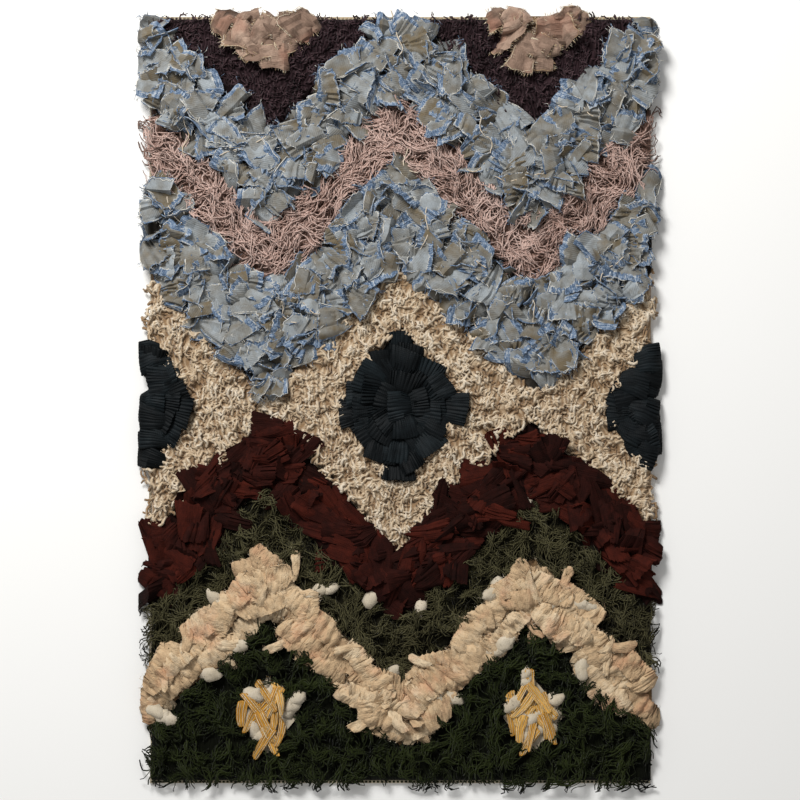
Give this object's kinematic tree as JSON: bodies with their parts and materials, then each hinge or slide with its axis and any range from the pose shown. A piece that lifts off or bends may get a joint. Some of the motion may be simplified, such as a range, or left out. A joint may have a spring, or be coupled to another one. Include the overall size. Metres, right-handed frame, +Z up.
{
  "type": "wool rug",
  "caption": "Flat rag-pile rug: a woven ground knotted with cut rags and yarn in zigzag bands and lozenges.",
  "frame": {"origin": "middle of the rug's underside, on the floor", "axes": "+X across the rug, +Y along it towards the aubergine end, +Z up out of the pile"},
  "size_m": [0.6666, 0.9995, 0.0266],
  "materials": {
    "ground": "plain woven wool and cotton, matt",
    "aubergine_wool": "short dense wool pile, matt",
    "denim_cloth": "cut cotton twill with frayed edges",
    "pink_yarn": "fine cotton yarn, matt",
    "cream_yarn": "curled cotton yarn, matt",
    "black_cloth": "pleated cloth, soft sheen",
    "maroon_cloth": "crumpled cotton strips, matt",
    "olive_yarn": "fine wool yarn, matt",
    "peach_cloth": "crumpled cotton rags with frayed edges",
    "green_yarn": "wool yarn locks, matt",
    "yellow_cloth": "flat cotton strips"
  },
  "bodies": {
    "root": {"ground_weave": "ground", "aubergine_pile_left": "aubergine_wool", "aubergine_pile_right": "aubergine_wool", "denim_rags_upper": "denim_cloth", "denim_rags_lower": "denim_cloth", "pink_yarn": "pink_yarn", "cream_yarn": "cream_yarn", "black_rags_middle": "black_cloth", "black_rags_left": "black_cloth", "black_rags_right": "black_cloth", "maroon_rags": "maroon_cloth", "olive_yarn": "olive_yarn", "peach_rags_band": "peach_cloth", "peach_rags_left": "peach_cloth", "peach_rags_right": "peach_cloth", "green_yarn": "green_yarn", "yellow_strips_left": "yellow_cloth", "yellow_strips_right": "yellow_cloth"}
  },
  "joints": []
}
